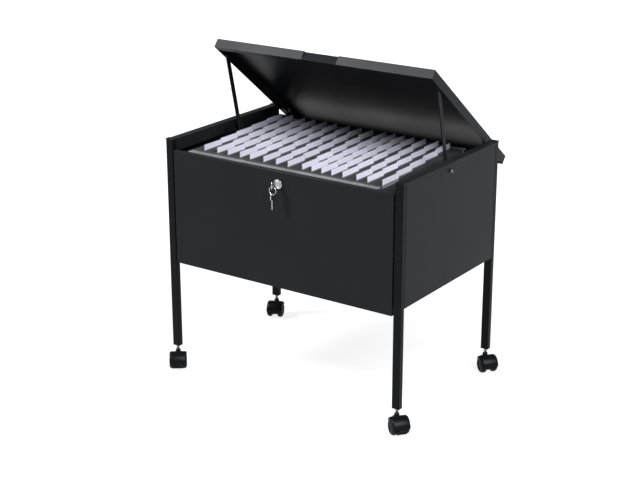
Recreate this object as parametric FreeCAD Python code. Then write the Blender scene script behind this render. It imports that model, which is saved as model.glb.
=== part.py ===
import FreeCAD, Part
import math
import os

# Hanging file cart. Units are mm, Z is up, the front faces -Y and the floor is Z = 0.
# X = 0 and Y = 0 are the middle of the frame. The lid stands open, as it does in the photo.

V = FreeCAD.Vector

# Frame
overall_width = 660.0
overall_depth = 430.0
leg_height = 57.0
overall_height = 587.0
post_width = 20.0
post_depth = 15.0
tube_wall = 1.5
tube_corner = 2.0
cap_flange = 2.0
cap_overhang = 1.0
cap_plug = 10.0
rail_height = 30.0
rail_below_top = 1.0
slip = 0.05

# Sheet panels, whose height is measured down from the top of the frame
sheet = 1.0
panel_gap = 3.5
front_panel_drop = 26.0
front_panel_height = 282.0
panel_return = 14.0
panel_fold = 10.0
panel_fold_lip = 8.0
panel_fold_radius = 3.0
side_panel_rise = 18.0
side_return = 12.0
tray_side_gap = 3.0
tray_end_gap = 17.0
tray_flange = 12.0
tray_rivet_inset = 8.2
tray_rivet_y = 150.0
tray_rivet_radius = 2.0
tray_rivet_head = 1.6
foot_bump_inset = 26.5
foot_bump_radius = 3.0
foot_bump_height = 1.5

# Screws that hold the front and back panels to the posts
panel_screw_inset = 21.0
panel_screw_radius = 2.5
panel_screw_head_radius = 4.5
panel_screw_head = 3.0
panel_screw_into_post = 3.0
panel_spacer_radius = 5.0

# Hanging rails for the files
hang_lip_inset = 23.0
hang_lip_sheet = 1.5
hang_lip_drop = 4.0
hang_lip_height = 12.0
hang_sheet = 1.2
hang_leg_height = 25.0
hang_end_gap = 6.5
lock_clear_half = 45.0
lock_clear_depth = 16.0

# Lid, given as it lies when closed
lid_side_gap = 7.5
lid_back_reach = 16.0
lid_flange = 23.0
lid_edge_radius = 2.0
lid_hem = 13.5
lid_hem_gap_left = -40.0
lid_hem_gap_right = 7.0
scoop_half_width = 48.0
scoop_depth = 6.0

# Stays and the pivots of the lid
stay_length = 192.0
stay_width = 12.0
stay_sheet = 3.0
stay_side_gap = 5.5
stay_foot_y = 27.0
pivot_drop = 19.0
stay_open_angle = 103.0
stay_closed_angle = 180.0
stay_pin_radius = 3.0
stay_pin_fit = 0.05
stay_open_fit = 0.4
stay_pin_head_radius = 5.0
stay_pin_head = 1.2
stay_washer_gap = 0.3
hinge_reach = 7.0
hinge_drop = 15.0
hinge_pin_radius = 3.0
hinge_pin_head_radius = 4.5
hinge_pin_head = 2.0
block_width = 10.2
block_side_gap = 0.5
block_length = 12.0
block_height = 8.4
channel_depth = 11.0
channel_lip_gap = 4.7
channel_sheet = 0.8
channel_start = 2.0
channel_length = 110.0

# Brackets
stay_plate_back = 37.0
stay_plate_front = -62.0
stay_plate_below = 9.0
stay_plate_above = 10.0
stay_plate_sheet = 2.0
stay_arm_gap = 2.5
stay_arm_front = 17.0
stay_arm_above = 7.0
bracket_corner = 5.0
cap_bolt_y = -12.0
cap_bolt_radius = 2.5
cap_nut_radius = 5.5
cap_nut_base = 3.0
cap_nut_height = 7.0
cap_nut_step = 0.6
cap_bolt_head_radius = 5.0
cap_bolt_head = 3.0
rivet_y = -53.0
rivet_radius = 2.0
rivet_head_radius = 3.5
rivet_head = 1.2
hinge_plate_sheet = 2.0
hinge_plate_gap = 2.0
hinge_plate_reach = 4.8
hinge_plate_above = 7.0
hinge_foot_width = 18.0
hinge_foot_drop = 2.0
hinge_foot_height = 28.0
hinge_foot_sheet = 2.0
hinge_rivet_inset = 10.0
hinge_rivet_edge = 7.0

# Lock, keys and ring
lock_drop = 30.0
lock_face_radius = 11.0
lock_face = 2.5
lock_body_radius = 9.5
lock_body_depth = 10.6
lock_nut_radius = 12.5
lock_nut = 3.0
barrel_radius = 6.5
barrel_recess = 0.3
cam_gap = 0.4
cam_sheet = 2.0
cam_half_width = 4.0
cam_hub_radius = 7.0
cam_length = 41.0
cam_toe = 13.0
cam_toe_height = 5.0
cam_screw_radius = 2.0
cam_screw_depth = 1.8
cam_screw_head_radius = 3.5
cam_screw_head = 1.8
keyway_half_width = 1.1
keyway_half_height = 3.6
keyway_depth = 10.0
key_sheet = 2.0
key_blade_height = 6.6
key_neck = 4.0
key_tip_gap = 0.5
key_bow_length = 20.0
key_bow_width = 18.0
key_bow_corner = 7.0
key_hole_radius = 2.5
key_hole_inset = 4.5
ring_radius = 9.0
ring_wire = 0.8
ring_hang = 0.35
spare_bow = 16.0
spare_bow_corner = 6.0
spare_length = 40.0
spare_blade = 6.0

# Casters
wheel_radius = 20.0
wheel_inner = 8.2
wheel_outer = 21.2
wheel_edge = 3.0
hub_recess_radius = 13.0
hub_recess = 1.5
hood_radius = 23.0
hood_clearance = 1.0
hood_half_width = 21.0
hood_edge = 2.0
hood_body_half_width = 7.6
hood_body_radius = 19.0
hood_lower = 20.0
hood_front_lower = 30.0
hood_front_inset = 10.0
crown_overlap = 0.5
hood_body_lower = 12.0
trail = 15.0
neck_radius = 6.2
neck_top = 44.5
stem_radius = 4.0
stem_bottom = 34.0
stem_insert = 25.0
stem_end_gap = 2.0
stem_swivel_fit = 0.05
stem_foot_gap = 0.5
socket_length = 30.0
socket_flange = 1.5
axle_radius = 2.5
axle_half_length = 18.0
axle_fit = 0.05
axle_end_gap = 0.5
pedal_half_width = 12.0
pedal_inner = 21.4
pedal_outer = 24.6
pedal_upper_angle = -4.0
pedal_lower_angle = -34.0
pedal_pivot_radius = 22.6
pedal_pivot_angle = -10.0
pedal_lug_radius = 2.8
pedal_lug_gap = 0.6
pedal_side_gap = 0.4
pedal_pin_radius = 1.5
pedal_pin_into = 2.0
pedal_arm_start = 14.0
caster_angles = {
    "left_front": -52.5,
    "right_front": -38.0,
    "right_rear": -38.0,
    "left_rear": -66.5,
}

# Files: sixteen groups of five, the tab of each next file one place further back
tab_places = 5
first_file_x = 250.0
group_gaps = (39.0, 29.0, 37.0, 30.0, 27.0, 27.0, 26.0, 40.0, 33.0, 36.0, 39.0, 29.0, 36.0, 31.0,
              39.0, 33.0)
pocket_thickness = 4.0
pocket_sheet = 0.5
pocket_end_gap = 7.5
pocket_above_lip = 3.0
pocket_height = 238.0
bar_sheet = 0.8
bar_overhang = 7.5
bar_above_pocket = 1.5
bar_height = 12.0
bar_notch_gap = 2.0
bar_rest_gap = 0.3
tab_width = 68.0
tab_end_inset = 42.0
tab_sheet = 0.8
tab_height = 22.0
tab_in_pocket = 7.0

# Derived sizes
half_width = overall_width / 2
half_depth = overall_depth / 2
post_inner_x = half_width - post_width
post_inner_y = half_depth - post_depth
post_mid_x = half_width - post_width / 2
post_mid_y = half_depth - post_depth / 2
post_top = overall_height - cap_flange
post_bottom = leg_height + socket_flange
rail_top = overall_height - rail_below_top
rail_bottom = rail_top - rail_height
panel_half_width = post_inner_x - panel_gap
front_panel_top = overall_height - front_panel_drop
front_panel_bottom = front_panel_top - front_panel_height
side_panel_bottom = front_panel_bottom + side_panel_rise
panel_screw_heights = (front_panel_bottom + panel_screw_inset,
                       (front_panel_bottom + front_panel_top) / 2,
                       front_panel_top - panel_screw_inset)
panel_screw_end = post_inner_x + panel_screw_into_post
tray_side = half_width - tray_side_gap
tray_end = half_depth - tray_end_gap
tray_rivet_x = half_width - tray_rivet_inset
foot_bump_x = foot_bump_inset - panel_half_width
hang_lip_outer = half_depth - hang_lip_inset
hang_lip_inner = hang_lip_outer - hang_lip_sheet
hang_lip_top = front_panel_top - hang_lip_drop
hang_web_top = hang_lip_top - hang_lip_height
hang_leg_bottom = hang_web_top - hang_leg_height
hang_half_length = panel_half_width - hang_end_gap
pivot_height = overall_height - pivot_drop
hinge_height = overall_height - hinge_drop
hinge_y = half_depth + hinge_reach
lid_half_width = post_inner_x - lid_side_gap
lid_front = -half_depth
lid_back = half_depth + lid_back_reach
lid_top = overall_height
lid_bottom = overall_height - lid_flange
flange_face = lid_half_width - sheet
stay_outer = lid_half_width - stay_side_gap
stay_inner = stay_outer - stay_sheet
stay_top_closed_y = stay_foot_y - stay_length
stay_arm_inner = stay_inner - stay_arm_gap - stay_plate_sheet
stay_plate_bottom = pivot_height - stay_plate_below
stay_plate_top = pivot_height + stay_plate_above
stay_arm_top = pivot_height + stay_arm_above
block_outer = flange_face - channel_sheet - block_side_gap
block_inner = block_outer - block_width
channel_inner = flange_face - channel_depth
hinge_plate_outer = block_inner - hinge_plate_gap
hinge_plate_inner = hinge_plate_outer - hinge_plate_sheet
hinge_plate_top = hinge_height + hinge_plate_above
hinge_foot_top = front_panel_top - hinge_foot_drop
hinge_plate_bottom = hinge_foot_top - hinge_foot_height
hinge_foot_inner = hinge_plate_inner - hinge_foot_width
hinge_rivet_x = hinge_plate_inner - hinge_rivet_inset
hinge_rivet_heights = (hinge_plate_bottom + hinge_rivet_edge, hinge_foot_top - hinge_rivet_edge)
lock_height = front_panel_top - lock_drop
lock_body_end = lock_body_depth - half_depth
cam_front = lock_body_end + cam_gap
pedal_x = trail + pedal_pivot_radius * math.cos(math.radians(pedal_pivot_angle))
pedal_z = wheel_radius + pedal_pivot_radius * math.sin(math.radians(pedal_pivot_angle))
pocket_half_depth = hang_lip_inner - pocket_end_gap
pocket_top = hang_lip_top + pocket_above_lip
pocket_bottom = pocket_top - pocket_height
bar_half_length = hang_lip_outer + bar_overhang
bar_top = pocket_top + bar_above_pocket
bar_bottom = bar_top - bar_height
bar_notch_inner = hang_lip_inner - bar_notch_gap
bar_notch_outer = hang_lip_outer + bar_notch_gap
tab_span = pocket_half_depth - tab_end_inset
tab_bottom = pocket_top - tab_in_pocket
tab_top = tab_bottom + tab_height


def box(x0, x1, y0, y1, z0, z1):
    return Part.makeBox(x1 - x0, y1 - y0, z1 - z0, V(x0, y0, z0))


def rod_x(radius, x0, x1, y, z):
    return Part.makeCylinder(radius, x1 - x0, V(x0, y, z), V(1, 0, 0))


def rod_y(radius, y0, y1, x, z):
    return Part.makeCylinder(radius, y1 - y0, V(x, y0, z), V(0, 1, 0))


def rod_z(radius, z0, z1, x, y):
    return Part.makeCylinder(radius, z1 - z0, V(x, y, z0), V(0, 0, 1))


def plate(points, direction):
    """A flat outline pushed along one direction."""
    return Part.Face(Part.makePolygon(points + [points[0]])).extrude(direction)


def dome(radius, height, start, direction):
    """A low spherical cap standing on a flat round base."""
    ball_radius = (radius ** 2 + height ** 2) / (2 * height)
    half_angle = math.asin(radius / ball_radius) / 2
    middle = V(ball_radius * math.sin(half_angle), 0,
               height - ball_radius + ball_radius * math.cos(half_angle))
    arc = Part.Arc(V(radius, 0, 0), middle, V(0, 0, height)).toShape()
    outline = Part.Wire([Part.makeLine(V(0, 0, 0), V(radius, 0, 0)), arc,
                         Part.makeLine(V(0, 0, height), V(0, 0, 0))])
    cap = Part.Face(outline).revolve(V(0, 0, 0), V(0, 0, 1), 360)
    cap.Placement = FreeCAD.Placement(start, FreeCAD.Rotation(V(0, 0, 1), direction))
    return cap


def flip_x(shape):
    return shape.mirror(V(0, 0, 0), V(1, 0, 0))


def flip_y(shape):
    return shape.mirror(V(0, 0, 0), V(0, 1, 0))


def both_sides(shape):
    return [shape, flip_x(shape)]


def four_corners(shape):
    """The right rear piece and its three mirrored copies."""
    return both_sides(shape) + both_sides(flip_y(shape))


def turned(shape, angle, y, z):
    """A copy turned about an X axis through (y, z)."""
    copy = shape.copy()
    copy.rotate(V(0, y, z), V(1, 0, 0), angle)
    return copy


def round_edges(shape, radius, wanted):
    """Round the edges for which wanted(edge) is true."""
    edges = [edge for edge in shape.Edges if wanted(edge)]
    return shape.makeFillet(radius, edges)


def upright(edge):
    return edge.BoundBox.ZLength > 5 and edge.BoundBox.XLength < 0.01 and edge.BoundBox.YLength < 0.01


def save(name, shapes):
    if not isinstance(shapes, list):
        shapes = [shapes]
    shape = shapes[0] if len(shapes) == 1 else Part.makeCompound(shapes)
    shape.exportStep("parts/" + name + ".step")


# Posts: the right rear one is built, the others are its mirror images

def build_post():
    post = box(post_inner_x, half_width, post_inner_y, half_depth, post_bottom, post_top)
    post = round_edges(post, tube_corner, upright)
    bore = box(post_inner_x + tube_wall, half_width - tube_wall, post_inner_y + tube_wall,
               half_depth - tube_wall, post_bottom - 1, post_top + 1)
    post = post.cut(round_edges(bore, tube_corner - tube_wall, upright))
    for height in panel_screw_heights:
        hole = rod_x(panel_screw_radius + slip, post_inner_x - 1, post_inner_x + tube_wall + 1,
                     post_mid_y, height)
        post = post.cut(hole)
    return post


post = build_post()
save("right_rear_post", post)
save("left_rear_post", flip_x(post))
save("right_front_post", flip_y(post))
save("left_front_post", flip_x(flip_y(post)))

cap = box(post_inner_x - cap_overhang, half_width + cap_overhang, post_inner_y + slip,
          half_depth + cap_overhang, post_top, overall_height)
cap = round_edges(cap, tube_corner, lambda edge: edge.BoundBox.ZLength > 1
                  and edge.BoundBox.XLength < 0.01 and edge.BoundBox.YLength < 0.01
                  and edge.CenterOfMass.y > post_mid_y)
plug = box(post_inner_x + tube_wall + slip, half_width - tube_wall - slip,
           post_inner_y + tube_wall + slip, half_depth - tube_wall - slip,
           post_top - cap_plug, post_top)
cap = cap.fuse(round_edges(plug, tube_corner - tube_wall, upright)).removeSplitter()
save("post_caps", four_corners(cap))

socket = box(post_inner_x + tube_wall + slip, half_width - tube_wall - slip,
             post_inner_y + tube_wall + slip, half_depth - tube_wall - slip,
             post_bottom, leg_height + socket_length)
socket = round_edges(socket, tube_corner - tube_wall, upright)
socket_rim = box(post_inner_x, half_width, post_inner_y, half_depth, leg_height, post_bottom)
socket_rim = round_edges(socket_rim, tube_corner, lambda edge: edge.BoundBox.ZLength > 1
                         and edge.BoundBox.XLength < 0.01 and edge.BoundBox.YLength < 0.01)
socket = socket.fuse(socket_rim).removeSplitter()
socket = socket.cut(rod_z(stem_radius + slip, leg_height - 1, leg_height + stem_insert + stem_end_gap,
                          post_mid_x, post_mid_y))
save("caster_sockets", four_corners(socket))

# Top rails, and side panels whose sheet runs up over the outer face of the rails

rail_outer_x = half_width - sheet
rail = box(post_inner_x, rail_outer_x, -post_inner_y, post_inner_y, rail_bottom, rail_top)
rail = rail.cut(box(post_inner_x + tube_wall, rail_outer_x - tube_wall, -post_inner_y - 1,
                    post_inner_y + 1, rail_bottom + tube_wall, rail_top - tube_wall))
rail = rail.cut(rod_x(cap_bolt_radius + slip, post_inner_x - 1, half_width + 1, cap_bolt_y,
                      pivot_height))
rail = rail.cut(rod_x(rivet_radius + slip, post_inner_x - 1, half_width + 1, rivet_y,
                      pivot_height))
save("right_top_rail", rail)
save("left_top_rail", flip_x(rail))

side_panel = box(half_width - side_return, half_width, -post_inner_y, post_inner_y,
                 side_panel_bottom, rail_bottom)
side_panel = side_panel.cut(box(half_width - side_return - 1, half_width - sheet,
                                -post_inner_y + sheet, post_inner_y - sheet,
                                side_panel_bottom + sheet, rail_bottom - sheet))
side_panel = side_panel.fuse(box(rail_outer_x, half_width, -post_inner_y, post_inner_y,
                                 rail_bottom, rail_top)).removeSplitter()
side_panel = side_panel.cut(rod_x(cap_bolt_radius + slip, rail_outer_x - 1, half_width + 1,
                                  cap_bolt_y, pivot_height))
side_panel = side_panel.cut(rod_x(rivet_radius + slip, rail_outer_x - 1, half_width + 1, rivet_y,
                                  pivot_height))
for y in (-tray_rivet_y, tray_rivet_y):
    side_panel = side_panel.cut(rod_z(tray_rivet_radius + slip, side_panel_bottom - 1,
                                      side_panel_bottom + sheet + 1, tray_rivet_x, y))
save("right_side_panel", side_panel)
save("left_side_panel", flip_x(side_panel))

# Front and back panels: folded sheets held off the posts by spacers

def build_panel():
    """The back panel. The front one is its mirror image with the lock hole added."""
    body = box(-panel_half_width, panel_half_width, half_depth - panel_return, half_depth,
               front_panel_bottom, front_panel_top)
    body = round_edges(body, panel_fold_radius, lambda edge: edge.BoundBox.XLength > 100
                       and edge.CenterOfMass.y > half_depth - 1
                       and edge.CenterOfMass.z > front_panel_top - 1)
    inner = box(-panel_half_width + sheet, panel_half_width - sheet,
                half_depth - panel_return - 1, half_depth - sheet,
                front_panel_bottom + sheet, front_panel_top - sheet)
    inner = round_edges(inner, panel_fold_radius - sheet, lambda edge: edge.BoundBox.XLength > 100
                        and edge.CenterOfMass.y > half_depth - sheet - 1
                        and edge.CenterOfMass.z > front_panel_top - sheet - 1)
    body = body.cut(inner)
    body = body.cut(box(-panel_half_width + sheet, panel_half_width - sheet,
                        half_depth - panel_return - 1, half_depth - panel_fold,
                        front_panel_top - 2 * sheet, front_panel_top + 1))
    lip = box(-panel_half_width + sheet, panel_half_width - sheet, half_depth - panel_fold,
              half_depth - panel_fold + sheet, front_panel_top - panel_fold_lip, front_panel_top)
    body = body.fuse(lip).removeSplitter()
    for side in (-1, 1):
        for height in panel_screw_heights:
            x = side * panel_half_width
            body = body.cut(rod_x(panel_screw_radius + slip, x - 2, x + 2, post_mid_y, height))
    return body


panel = build_panel()
back_panel = panel
for side in (-1, 1):
    for height in hinge_rivet_heights:
        back_panel = back_panel.cut(rod_y(rivet_radius + slip, half_depth - 2, half_depth + 1,
                                          side * hinge_rivet_x, height))
save("back_panel", back_panel)

front_panel = flip_y(panel)
front_panel = front_panel.cut(rod_y(lock_body_radius + slip, -half_depth - 1, -half_depth + 2, 0,
                                    lock_height))
bump = dome(foot_bump_radius, foot_bump_height, V(foot_bump_x, -half_depth + 4, front_panel_bottom),
            V(0, 0, -1))
front_panel = front_panel.fuse(bump).removeSplitter()
save("front_panel", front_panel)

screws = []
spacers = []
for height in panel_screw_heights:
    shank = rod_x(panel_screw_radius, panel_half_width - sheet, panel_screw_end, post_mid_y, height)
    head = rod_x(panel_screw_head_radius, panel_half_width - sheet - panel_screw_head,
                 panel_half_width - sheet, post_mid_y, height)
    screws += four_corners(shank.fuse(head).removeSplitter())
    ring = rod_x(panel_spacer_radius, panel_half_width, post_inner_x, post_mid_y, height)
    ring = ring.cut(rod_x(panel_screw_radius + slip, panel_half_width - 1, post_inner_x + 1,
                          post_mid_y, height))
    spacers += four_corners(ring)
save("panel_screws", screws)
save("panel_spacers", spacers)

# Base tray

tray = box(-tray_side, tray_side, -tray_end, tray_end, side_panel_bottom + sheet,
           side_panel_bottom + sheet + tray_flange)
tray = tray.cut(box(-tray_side + sheet, tray_side - sheet, -tray_end + sheet,
                    tray_end - sheet, side_panel_bottom + 2 * sheet,
                    side_panel_bottom + sheet + tray_flange + 1))
tray_rivets = []
for side in (-1, 1):
    for y in (-tray_rivet_y, tray_rivet_y):
        x = side * tray_rivet_x
        tray = tray.cut(rod_z(tray_rivet_radius + slip, side_panel_bottom,
                              side_panel_bottom + 3 * sheet, x, y))
        shank = rod_z(tray_rivet_radius, side_panel_bottom - 4, side_panel_bottom + 2 * sheet,
                      x, y)
        head = dome(rivet_head_radius - 0.1, tray_rivet_head, V(x, y, side_panel_bottom + 2 * sheet),
                    V(0, 0, 1))
        tray_rivets.append(shank.fuse(head).removeSplitter())
save("base_tray", tray)

# Hanging rails: a leg on the panel, a web towards the files and an upturned lip

def build_hanging_rail():
    inner_face = half_depth - sheet
    leg = box(-hang_half_length, hang_half_length, inner_face - hang_sheet, inner_face,
              hang_leg_bottom, hang_web_top)
    web = box(-hang_half_length, hang_half_length, hang_lip_inner, inner_face,
              hang_web_top - hang_sheet, hang_web_top)
    lip = box(-hang_half_length, hang_half_length, hang_lip_inner, hang_lip_outer,
              hang_web_top - hang_sheet, hang_lip_top)
    return leg.fuse(web).fuse(lip).removeSplitter()


hanging_rail = build_hanging_rail()
save("back_hanging_rail", hanging_rail)
front_hanging_rail = flip_y(hanging_rail)
front_hanging_rail = front_hanging_rail.cut(box(-lock_clear_half, lock_clear_half, -half_depth,
                                                lock_clear_depth - half_depth, hang_leg_bottom - 1,
                                                hang_web_top + 1))
save("front_hanging_rail", front_hanging_rail)

# Stay brackets, with the studs the stays turn on

stay_plate = box(post_inner_x - stay_plate_sheet, post_inner_x, stay_plate_front,
                 stay_plate_back, stay_plate_bottom, stay_plate_top)
stay_web = box(stay_arm_inner, post_inner_x, stay_arm_front, stay_plate_back,
               stay_plate_bottom, stay_plate_bottom + stay_plate_sheet)
stay_arm = box(stay_arm_inner, stay_arm_inner + stay_plate_sheet, stay_arm_front,
               stay_plate_back, stay_plate_bottom, stay_arm_top)
stay_arm = round_edges(stay_arm, bracket_corner, lambda edge: edge.BoundBox.XLength > 1
                       and edge.BoundBox.YLength < 0.01 and edge.CenterOfMass.z > stay_arm_top - 1)
stay_bracket = stay_plate.fuse(stay_web).fuse(stay_arm).removeSplitter()
for radius, y in ((cap_bolt_radius, cap_bolt_y), (rivet_radius, rivet_y)):
    stay_bracket = stay_bracket.cut(rod_x(radius + slip, post_inner_x - 5, post_inner_x + 1, y,
                                          pivot_height))
stay_bracket = stay_bracket.cut(rod_x(stay_pin_radius + slip, stay_arm_inner - 1,
                                      stay_arm_inner + stay_plate_sheet + 1, stay_foot_y,
                                      pivot_height))
save("stay_brackets", both_sides(stay_bracket))

stud = rod_x(stay_pin_radius, stay_arm_inner - 1, stay_outer + stay_washer_gap, stay_foot_y, pivot_height)
stud = stud.fuse(rod_x(stay_pin_head_radius, stay_arm_inner + stay_plate_sheet,
                       stay_inner - stay_washer_gap, stay_foot_y, pivot_height))
stud = stud.fuse(rod_x(stay_pin_head_radius, stay_outer + stay_washer_gap,
                       stay_outer + stay_washer_gap + stay_pin_head, stay_foot_y, pivot_height))
stud = stud.fuse(rod_x(stay_pin_head_radius, stay_arm_inner - 1 - stay_pin_head,
                       stay_arm_inner - slip, stay_foot_y, pivot_height)).removeSplitter()
save("bracket_studs", both_sides(stud))

cap_bolt = rod_x(cap_bolt_radius, post_inner_x - stay_plate_sheet, half_width + 2, cap_bolt_y,
                 pivot_height)
cap_bolt = cap_bolt.fuse(rod_x(cap_bolt_head_radius,
                               post_inner_x - stay_plate_sheet - cap_bolt_head,
                               post_inner_x - stay_plate_sheet, cap_bolt_y,
                               pivot_height)).removeSplitter()
save("cap_bolts", both_sides(cap_bolt))

cap_nut = rod_x(cap_nut_radius, half_width, half_width + cap_nut_base, cap_bolt_y, pivot_height)
cap_nut = cap_nut.fuse(dome(cap_nut_radius - cap_nut_step, cap_nut_height - cap_nut_base,
                            V(half_width + cap_nut_base, cap_bolt_y, pivot_height), V(1, 0, 0)))
cap_nut = cap_nut.removeSplitter().cut(rod_x(cap_bolt_radius + slip, half_width - 1,
                                             half_width + 2.5, cap_bolt_y, pivot_height))
save("cap_nuts", both_sides(cap_nut))

rivet = rod_x(rivet_radius, post_inner_x - stay_plate_sheet, half_width, rivet_y, pivot_height)
rivet = rivet.fuse(dome(rivet_head_radius, rivet_head, V(half_width, rivet_y, pivot_height),
                        V(1, 0, 0)))
rivet = rivet.fuse(dome(rivet_head_radius, rivet_head,
                        V(post_inner_x - stay_plate_sheet, rivet_y, pivot_height), V(-1, 0, 0)))
side_rivets = both_sides(rivet.removeSplitter())

# Rear hinge brackets and pins

hinge_bracket = box(hinge_foot_inner, hinge_plate_outer, half_depth,
                    half_depth + hinge_foot_sheet, hinge_plate_bottom, hinge_foot_top)
hinge_plate = box(hinge_plate_inner, hinge_plate_outer, half_depth,
                  hinge_y + hinge_plate_reach, hinge_plate_bottom, hinge_plate_top)
hinge_plate = round_edges(hinge_plate, bracket_corner, lambda edge: edge.BoundBox.XLength > 1
                          and edge.CenterOfMass.z > hinge_plate_top - 1)
hinge_bracket = hinge_bracket.fuse(hinge_plate).removeSplitter()
for height in hinge_rivet_heights:
    hinge_bracket = hinge_bracket.cut(rod_y(rivet_radius + slip, half_depth - 1,
                                            half_depth + hinge_foot_sheet + 1, hinge_rivet_x,
                                            height))
hinge_bracket = hinge_bracket.cut(rod_x(hinge_pin_radius + slip, hinge_plate_inner - 1,
                                        hinge_plate_outer + 1, hinge_y, hinge_height))
save("hinge_brackets", both_sides(hinge_bracket))

hinge_pin = rod_x(hinge_pin_radius, hinge_plate_inner - hinge_pin_head, stay_outer, hinge_y,
                  hinge_height)
hinge_pin = hinge_pin.fuse(rod_x(hinge_pin_head_radius, hinge_plate_inner - hinge_pin_head,
                                 hinge_plate_inner, hinge_y, hinge_height)).removeSplitter()
save("hinge_pins", both_sides(hinge_pin))

bracket_rivets = []
for height in hinge_rivet_heights:
    shank = rod_y(rivet_radius, half_depth - sheet, half_depth + hinge_foot_sheet, hinge_rivet_x,
                  height)
    outer = dome(rivet_head_radius, rivet_head,
                 V(hinge_rivet_x, half_depth + hinge_foot_sheet, height), V(0, 1, 0))
    bracket_rivets += both_sides(shank.fuse(outer).removeSplitter())
save("rivets", tray_rivets + side_rivets + bracket_rivets)

# Lid linkage: the angle of the open lid follows from the stay and the rear pin

def stay_top(angle):
    return (stay_foot_y + stay_length * math.cos(math.radians(angle)),
            pivot_height + stay_length * math.sin(math.radians(angle)))


open_y, open_z = stay_top(stay_open_angle)
reach = math.hypot(hinge_y - open_y, open_z - hinge_height)
lid_open_angle = math.degrees(math.atan2(open_z - hinge_height, hinge_y - open_y)
                              + math.asin((pivot_drop - hinge_drop) / reach))


def opened(shape):
    """Move a piece of the lid from its closed place to its open place."""
    copy = turned(shape, -lid_open_angle, stay_top_closed_y, pivot_height)
    copy.translate(V(0, open_y - stay_top_closed_y, open_z - pivot_height))
    return copy


# Lid: a folded tray with a finger scoop and a hem that the lock hooks over

def scoop(half, depth, lift):
    """The wedge pressed into the front edge of the lid."""
    points = [V(-half, lid_front - 1, lid_top + 1), V(-half, lid_front + depth, lid_top + 1),
              V(-half, lid_front + depth, lid_top), V(-half, lid_front + lift, lid_bottom),
              V(-half, lid_front - 1, lid_bottom)]
    return plate(points, V(2 * half, 0, 0))


lid = box(-lid_half_width, lid_half_width, lid_front, lid_back, lid_bottom, lid_top)
lid = round_edges(lid, lid_edge_radius, lambda edge: edge.CenterOfMass.z > lid_top - 0.01)
cavity = box(-lid_half_width + sheet, lid_half_width - sheet, lid_front + sheet,
             lid_back - sheet, lid_bottom - 1, lid_top - sheet)
cavity = cavity.cut(scoop(scoop_half_width + sheet, scoop_depth + sheet, sheet))
lid = lid.cut(scoop(scoop_half_width, scoop_depth, 0.0)).cut(cavity)
hem = box(-lid_half_width + sheet, lid_half_width - sheet, lid_front + sheet,
          lid_front + sheet + lid_hem, lid_bottom, lid_bottom + sheet)
hem = hem.cut(box(lid_hem_gap_left, lid_hem_gap_right, lid_front + 2 * sheet,
                  lid_front + lid_hem + 2, lid_bottom - 1, lid_bottom + 2))
lid = lid.fuse(hem).removeSplitter()
save("lid", opened(lid))

channel_back = lid_back - channel_start
channel_front = channel_back - channel_length
channel = box(channel_inner, flange_face, channel_front, channel_back,
              hinge_height - channel_lip_gap - channel_sheet,
              hinge_height + channel_lip_gap + channel_sheet)
channel = channel.cut(box(channel_inner - 1, flange_face - channel_sheet, channel_front - 1,
                          channel_back + 1, hinge_height - channel_lip_gap,
                          hinge_height + channel_lip_gap))
save("lid_guide_channels", [opened(piece) for piece in both_sides(channel)])

stay_pin = rod_x(stay_pin_radius, stay_inner - stay_washer_gap, flange_face, stay_top_closed_y,
                 pivot_height)
stay_pin = stay_pin.fuse(rod_x(stay_pin_head_radius, stay_outer + stay_washer_gap, flange_face,
                               stay_top_closed_y, pivot_height))
stay_pin = stay_pin.fuse(rod_x(stay_pin_head_radius, stay_inner - stay_washer_gap - stay_pin_head,
                               stay_inner - stay_washer_gap, stay_top_closed_y,
                               pivot_height)).removeSplitter()
save("stay_pins", [opened(piece) for piece in both_sides(stay_pin)])

block = box(block_inner, block_outer, hinge_y - block_length / 2, hinge_y + block_length / 2,
            hinge_height - block_height / 2, hinge_height + block_height / 2)
block = block.cut(rod_x(hinge_pin_radius + slip, block_inner - 1, block_outer + 1, hinge_y,
                        hinge_height))
block = turned(block, -lid_open_angle, hinge_y, hinge_height)
save("slider_blocks", both_sides(block))


def build_stay(top_fit):
    """A flat bar with round ends, lying closed and then swung up."""
    half = stay_width / 2
    bar = box(stay_inner, stay_outer, stay_top_closed_y, stay_foot_y, pivot_height - half,
              pivot_height + half)
    for y in (stay_top_closed_y, stay_foot_y):
        bar = bar.fuse(rod_x(half, stay_inner, stay_outer, y, pivot_height))
    bar = bar.removeSplitter()
    for y, fit in ((stay_top_closed_y, top_fit), (stay_foot_y, stay_pin_fit)):
        bar = bar.cut(rod_x(stay_pin_radius + fit, stay_inner - 1, stay_outer + 1, y,
                            pivot_height))
    return turned(bar, stay_open_angle - stay_closed_angle, stay_foot_y, pivot_height)


save("right_stay", build_stay(stay_pin_fit))
save("left_stay", flip_x(build_stay(stay_open_fit)))

# Lock

face_front = -half_depth - lock_face
housing = rod_y(lock_face_radius, face_front, -half_depth, 0, lock_height)
housing = housing.fuse(rod_y(lock_body_radius, -half_depth, lock_body_end, 0, lock_height))
housing = housing.removeSplitter().cut(rod_y(barrel_radius + slip, face_front - 1,
                                             lock_body_end + 1, 0, lock_height))
save("lock_housing", housing)

nut_front = -half_depth + sheet
hexagon = [V(lock_nut_radius * math.cos(math.radians(60 * i)), nut_front,
             lock_height + lock_nut_radius * math.sin(math.radians(60 * i))) for i in range(6)]
lock_ring = plate(hexagon, V(0, lock_nut, 0))
lock_ring = lock_ring.cut(rod_y(lock_body_radius + slip, nut_front - 1, nut_front + lock_nut + 1,
                                0, lock_height))
save("lock_nut", lock_ring)

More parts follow.
